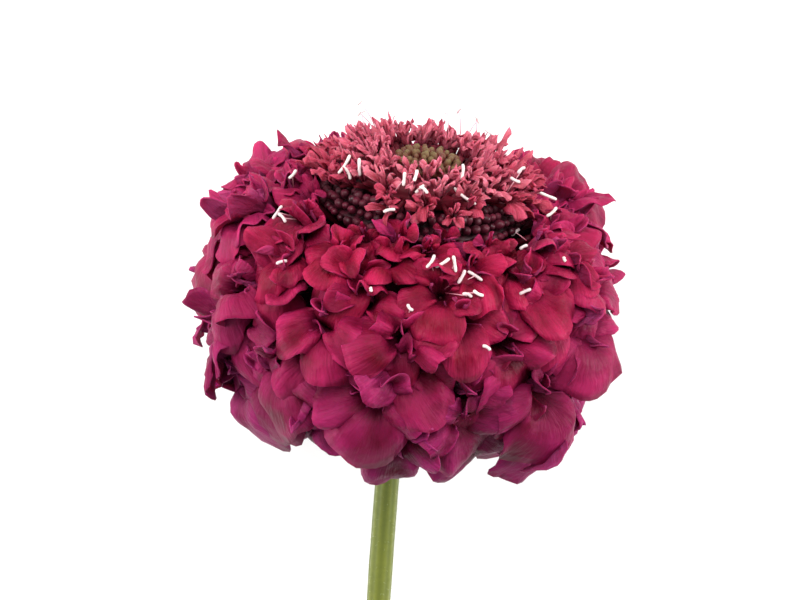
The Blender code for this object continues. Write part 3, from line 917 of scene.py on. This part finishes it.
def new_pattern(name, outputs):
    """An empty node group with these outputs, and the node that they are linked to."""
    tree = bpy.data.node_groups.new(name, "ShaderNodeTree")
    for output in outputs:
        tree.interface.new_socket(name=output, in_out="OUTPUT", socket_type="NodeSocketFloat")
    return tree, node(tree, "NodeGroupOutput")


def petal_pattern():
    """Shared by the petals: radiating streaks, blotches and the height of the veins."""
    tree, out = new_pattern("petal pattern", ("Streak", "Blotch", "Height"))
    surface = node(tree, "ShaderNodeUVMap", uv_map="surface").outputs["UV"]
    streak = streaks(tree, surface, (15, 1.1, 1), 0.55)
    fine = streaks(tree, surface, (46, 2.2, 1), 0.6)
    both = weighted(tree, streak, 0.6, fine, 0.4)
    tree.links.new(mapped(tree, both, 0.36, 0.64), out.inputs["Streak"])
    place = node(tree, "ShaderNodeTexCoord").outputs["Object"]
    blotch = mapped(tree, noise(tree, place, 190, 3.0), 0.36, 0.66)
    tree.links.new(blotch, out.inputs["Blotch"])
    crinkle = streaks(tree, surface, (9, 4.5, 1), 0.5)
    tree.links.new(weighted(tree, fine, 0.3, crinkle, 0.9), out.inputs["Height"])
    return tree


def skin_pattern():
    """Shared by the buds and the green parts: small patches and the height of a fine grain."""
    tree, out = new_pattern("plant skin", ("Patch", "Height"))
    place = node(tree, "ShaderNodeTexCoord").outputs["Object"]
    patch = mapped(tree, noise(tree, place, 900, 3.0), 0.35, 0.65)
    tree.links.new(patch, out.inputs["Patch"])
    tree.links.new(noise(tree, place, 3500, 2.0), out.inputs["Height"])
    return tree


class Finish:
    """A material whose colour is laid on in layers, with the outputs of its pattern.

    rough is a number, or the name of an output with its least and most roughness.
    """

    def __init__(self, name, colour, rough, pattern=None):
        self.material = bpy.data.materials.new(name)
        self.material.use_nodes = True
        self.tree = self.material.node_tree
        self.shader = self.tree.nodes["Principled BSDF"]
        self.pattern = {}
        if pattern is not None:
            self.pattern = node(self.tree, "ShaderNodeGroup", node_tree=pattern).outputs
        self.colour = colour
        self.put("Base Color", colour)
        if isinstance(rough, tuple):
            rough = self.share(rough[0], 0, 1, *rough[1:])
        self.put("Roughness", rough)

    def put(self, name, source):
        set_or_link(self.tree, self.shader.inputs[name], source)

    def share(self, source, low, high, least=0.0, most=1.0):
        """A value of the mesh or of the pattern, or a node's output, moved onto least to most."""
        if isinstance(source, str):
            known = source in self.pattern
            source = self.pattern[source] if known else value_of(self.tree, source)
        return mapped(self.tree, source, low, high, least, most)

    def layer(self, colour, *share):
        """Mixes a colour over the ones so far, by a share."""
        self.colour = mixed(self.tree, self.share(*share), self.colour, colour)
        self.put("Base Color", self.colour)

    def bump(self, strength, distance):
        """Raises the surface by the pattern's height."""
        inputs = {"Strength": strength, "Distance": distance, "Height": self.pattern["Height"]}
        self.put("Normal", node(self.tree, "ShaderNodeBump", inputs).outputs["Normal"])

    def on(self, obj):
        obj.data.materials.clear()
        obj.data.materials.append(self.material)


def petal_finish(name, pattern, colours, rows, edge_from):
    """Satin petals.

    colours are the one for the hollows, painted shade deep in the throats, then the throat, the
    blade and its edge, then low and low edge for the lowest rows, under for the underside, the
    paler pink painted as light on the florets at the left and right of the head and on a few old
    lobes, and streak for the veins. The throat, edge and low colours carry some painted shade and
    light too. The low colours fade out from the first to the second of rows. The edge's colour
    starts at a reach of edge_from.
    """
    finish = Finish(name, colours["throat"], ("Blotch", 0.42, 0.60), pattern)
    tree = finish.tree
    # The lowest rows are darker and more purple: partly their own tone, partly painted shade on the
    # rows that lie lower on the head, away from the light above.
    low = finish.share("row", *rows, 1.0, 0.0)
    edge = mixed(tree, low, colours["edge"], colours["low edge"])
    blade = mixed(tree, low, colours["blade"], colours["low"])
    veined = finish.share("Streak", 0, 1, 0.0, 0.35)
    under = mixed(tree, veined, colours["under"], colours["blade"])
    # Darker towards the throat: partly the petals' own deeper crimson, partly painted shade where the
    # lobes sink into the throat.
    finish.layer(blade, "reach", 0.15, 0.62)
    # Paler and pinker towards the lobes' ends: partly their own paler margin, partly painted
    # highlight and glow where light passes through the thin edges.
    finish.layer(edge, "reach", edge_from, 1.0, 0.0, 0.75)
    # Painted highlight on the crests of the folds and crimps, and painted shade in their hollows.
    finish.layer(edge, "relief", 0.0, 1.0, 0.0, 0.68)
    finish.layer(colours["throat"], "relief", -1.0, 0.1, 0.75, 0.0)
    # Painted light: paler pink on the florets at the left and right of the head, and on a few old
    # lobes.
    finish.layer(colours["side_lit_and_faded"], "side_lit_and_faded", 0, 1, 0.0, 0.55)
    finish.layer(colours["streak"], "Streak", 0, 1, 0.0, 0.50)
    finish.layer(under, "face", 0, 1, 0.0, 0.85)
    finish.layer(colours["throat"], "tint", -1, 1, 0.0, 0.62)
    finish.layer(edge, "Blotch", 0, 1, 0.0, 0.28)
    # Painted shade: near-black deep in the throats, and on the tubes and the core under the florets.
    finish.layer(colours["hollow_shade"], "reach", 0.05, 0.42, 0.75, 0.0)
    finish.bump(0.75, 0.00060)
    finish.put("Specular IOR Level", 0.08)
    finish.put("Subsurface Weight", 0.20)
    finish.put("Subsurface Radius", (1.0, 0.12, 0.28))
    finish.put("Subsurface Scale", 0.0009)
    return finish


def bud_finish(name, pattern, deep, pale, rough):
    """Closed buds: deep sides, paler tips and small uneven patches."""
    finish = Finish(name, deep, ("Patch", rough, rough + 0.2), pattern)
    # Paler towards each bud's top: on the dark buds a painted highlight, on the centre buds their own
    # greenish tips.
    finish.layer(pale, "rise", -0.1, 1.0)
    finish.layer(deep, "tint", -1, 1, 0, 0.8)
    finish.layer(pale, "Patch", 0, 1, 0, 0.4)
    finish.put("Specular IOR Level", 0.28)
    finish.bump(0.3, 0.0001)
    return finish


def anther_finish(pattern):
    finish = Finish("white anthers", (0.66, 0.54, 0.54), 0.55, pattern)
    finish.layer((0.52, 0.38, 0.40), "Patch", 0, 1)
    finish.layer((0.72, 0.70, 0.62), "tint", -1, 1, 0, 0.5)
    return finish


def thread_finish(name, paler_from, foot, tip):
    """Filaments and hairs, from the colour of the foot to that of the tip."""
    finish = Finish(name, foot, 0.5)
    finish.layer(tip, "share", paler_from, 1.0)
    return finish


def stem_finish(pattern):
    finish = Finish("ridged green stem", (0.080, 0.112, 0.008), ("Patch", 0.42, 0.6), pattern)
    finish.layer((0.138, 0.146, 0.012), "along", 0.0, 0.35)
    # Painted light and shade along the ridges: lighter on the ridge tops, darker in the grooves
    # between them.
    finish.layer((0.185, 0.205, 0.026), "ridge", 0, 1, 0, 0.55)
    finish.layer((0.055, 0.080, 0.008), "Patch", 0, 1, 0, 0.25)
    finish.layer((0.42, 0.45, 0.24), "cut", 0.1, 0.8)
    finish.bump(0.25, 0.0001)
    return finish


def bract_finish(pattern):
    finish = Finish("green bracts fine", (0.20, 0.28, 0.06), 0.6, pattern)
    rib = sums(finish.tree, "ABSOLUTE", value_of(finish.tree, "across"), 0)
    finish.layer((0.10, 0.16, 0.03), "reach", 0.2, 1.0)
    finish.layer((0.36, 0.42, 0.14), rib, 0.0, 0.3, 0.5, 0.0)
    finish.layer((0.07, 0.11, 0.02), "Patch", 0, 1, 0, 0.3)
    return finish


FLOOR_HALF = 1.5
# Area lights: name, place, width and power
LIGHTS = (
    ("key", (-0.05, 0.60, 0.65), 0.50, 7.6),
    ("left soft box", (-0.60, 0.15, 0.22), 0.40, 4.2),
    ("right soft box", (0.60, 0.15, 0.22), 0.40, 5.0),
)
WORLD_STRENGTH = 0.60
CAMERA_LENS = 120
SENSOR_WIDTH = 36


def make_floor():
    mesh = bpy.data.meshes.new("floor")
    half = FLOOR_HALF
    corners = [(-half, -half, 0), (half, -half, 0), (half, half, 0), (-half, half, 0)]
    mesh.from_pydata(corners, [], [(0, 1, 2, 3)])
    floor = new_object("floor", mesh)
    finish = Finish("pale floor", (0.90, 0.90, 0.90), 0.9)
    finish.put("Specular IOR Level", 0.1)
    finish.on(floor)


def add_light(name, place, size, power):
    """A round area light that faces the head."""
    light = bpy.data.lights.new(name, "AREA")
    light.shape = "DISK"
    light.size = size
    light.energy = power
    lamp = new_object(name, light)
    lamp.location = place
    lamp.rotation_mode = "QUATERNION"
    lamp.rotation_quaternion = (HEAD_PLACE - Vector(place)).to_track_quat("-Z", "Y")


def make_studio():
    """A pale floor under soft light from above, and the camera that looks down on the head."""
    make_floor()
    scene = bpy.context.scene
    scene.world = bpy.data.worlds.new("studio")
    scene.world.use_nodes = True
    background = scene.world.node_tree.nodes["Background"]
    background.inputs["Color"].default_value = (1, 1, 1, 1)
    background.inputs["Strength"].default_value = WORLD_STRENGTH
    for light in LIGHTS:
        add_light(*light)
    camera = new_object("camera", bpy.data.cameras.new("camera"))
    camera.data.lens = CAMERA_LENS
    camera.data.sensor_width = SENSOR_WIDTH
    camera.data.clip_start = 0.01
    camera.data.clip_end = 10
    camera.location = CAMERA_PLACE
    camera.rotation_mode = "QUATERNION"
    turn = Matrix(np.stack([IMAGE_RIGHT, IMAGE_UP, TOWARDS_CAMERA], 1))
    camera.rotation_quaternion = turn.to_quaternion()
    scene.camera = camera
    scene.view_settings.view_transform = "Standard"
    scene.view_settings.look = "None"


def placed(obj, finish, nodes=()):
    """Gives a piece its finish and its body, and hides the model's parts that it stands for."""
    finish.on(obj)
    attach(obj, "root")
    if nodes:
        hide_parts(*nodes)
    return obj


# The colours of the big petals and of the tuft's. The colour for the hollows is painted shade, the
# paler pink for the left and right of the head is painted light, and the throat, edge and low
# colours carry some painted shade and light too.
RAY_COLOURS = {
    "hollow_shade": (0.022, 0.0006, 0.0035),
    "throat": (0.050, 0.0005, 0.0048),
    "blade": (0.195, 0.0007, 0.0120),
    "edge": (0.455, 0.0130, 0.0760),
    "low": (0.090, 0.0015, 0.0280),
    "low edge": (0.300, 0.0190, 0.1300),
    "under": (0.300, 0.0460, 0.1550),
    "side_lit_and_faded": (0.450, 0.0340, 0.1850),
    "streak": (0.050, 0.0005, 0.0048),
}
TUFT_COLOURS = {
    "hollow_shade": (0.060, 0.0010, 0.0060),
    "throat": (0.170, 0.0020, 0.0110),
    "blade": (0.370, 0.0050, 0.0260),
    "edge": (0.780, 0.2500, 0.3200),
    "low": (0.200, 0.0018, 0.0130),
    "low edge": (0.480, 0.0500, 0.1050),
    "under": (0.420, 0.0700, 0.1250),
    "side_lit_and_faded": (0.450, 0.0300, 0.0900),
    "streak": (0.640, 0.1300, 0.1950),
}


def make_florets(petals):
    """The five ray tiers and the tuft, as placed pieces."""
    low, high = RAY_SEAT
    ray_core = (
        (0, high),
        (0.60 * CORE_RADIUS, high),
        (0.88 * CORE_RADIUS, 0.80 * high),
        (CORE_RADIUS, 0.35 * high),
        (0.95 * CORE_RADIUS, 0.20 * low),
        (0.55 * CORE_RADIUS, low),
        (0, low),
    )
    low, high = TUFT_SEAT
    tuft_core = ((0, high), (0.0066, high), (0.0094, high - 0.0010), (0.0086, low), (0, low))
    ray = petal_finish("crimson petals", petals, RAY_COLOURS, (0.0, 3.2), 0.72)
    tuft = petal_finish("pink-red tuft petals", petals, TUFT_COLOURS, (5.3, 6.4), 0.55)
    names = ("lowest", "low", "middle", "upper", "top")
    pieces = []
    for row, (name, pair) in enumerate(zip(names, zip(RAY_TIERS, RAY_FILLERS))):
        first = TopHabit if row == TOP_ROW else RayHabit
        second = TopHabit if row >= SHOULDER_ROW else RayHabit
        core = ray_core if row == 0 else None
        singles = SHOULDERS if row == SHOULDER_ROW else ()
        piece = make_tier(
            "ray_florets." + name, (pair,), (first, second), row, ray_root, core, singles
        )
        pieces.append(placed(piece, ray, ("ray_florets",)))
    pairs = tuple(zip(TUFT_TIERS, TUFT_FILLERS))
    habits = (TuftHabit, TuftHabit)
    piece = make_tier("centre_florets.fine", pairs, habits, len(names), tuft_root, tuft_core)
    pieces.append(placed(piece, tuft, ("centre_florets",)))
    return pieces


def make_all_buds(skin):
    """The ring of dark buds and the small buds in the middle of the tuft, as placed pieces."""
    low, high = BUD_SEAT
    rim = ((0.0112, high), (0.0138, high - 0.0012), (0.0136, low + 0.0018), (0.0095, low))
    seat = ((0, high), *rim, (0, low))
    dark = make_buds("disc_buds.fine", seat, DARK_RINGS, 2 * SEED, 0.00065, 1.25)
    # The dark buds' pale colour is a painted highlight on their tops, and their near-black deep
    # colour is painted shade on their sides and on the seat between them.
    finish = bud_finish(
        "dark maroon buds", skin, (0.008, 0.0004, 0.0018), (0.120, 0.007, 0.024), 0.36
    )
    placed(dark, finish, ("disc_buds",))
    low, high = CENTRE_SEAT
    seat = ((0, high), (0.0034, high), (0.0043, high - 0.0004), (0.0040, low), (0, low))
    centre = make_buds("centre_buds.fine", seat, CENTRE_RINGS, 4 * SEED, 0.00051, 1.45)
    finish = bud_finish(
        "greenish brown buds", skin, (0.105, 0.010, 0.012), (0.135, 0.110, 0.036), 0.45
    )
    placed(centre, finish, ("centre_buds",))
    return [dark, centre]


def main():
    skin = skin_pattern()
    head = make_florets(petal_pattern()) + make_all_buds(skin)
    placed(make_involucre(), bract_finish(skin), ("involucre",))
    stem, hairs = make_stem()
    placed(stem, stem_finish(skin), ("stem",))
    hair = thread_finish("pale stem hairs", 0.0, (0.30, 0.38, 0.12), (0.70, 0.74, 0.55))
    placed(hairs, hair)

    throats = []
    for row, tier in enumerate((*RAY_TIERS[1:], *TUFT_TIERS), 1):
        throats += [Floret(tier, number, row).throat for number in range(tier.count)]
    anthers, filaments = make_stamens(tree_of(head), throats)
    placed(anthers, anther_finish(skin))
    filament = thread_finish("pale filaments", 0.1, (0.38, 0.05, 0.10), (0.78, 0.42, 0.48))
    placed(filaments, filament)
    make_studio()


main()
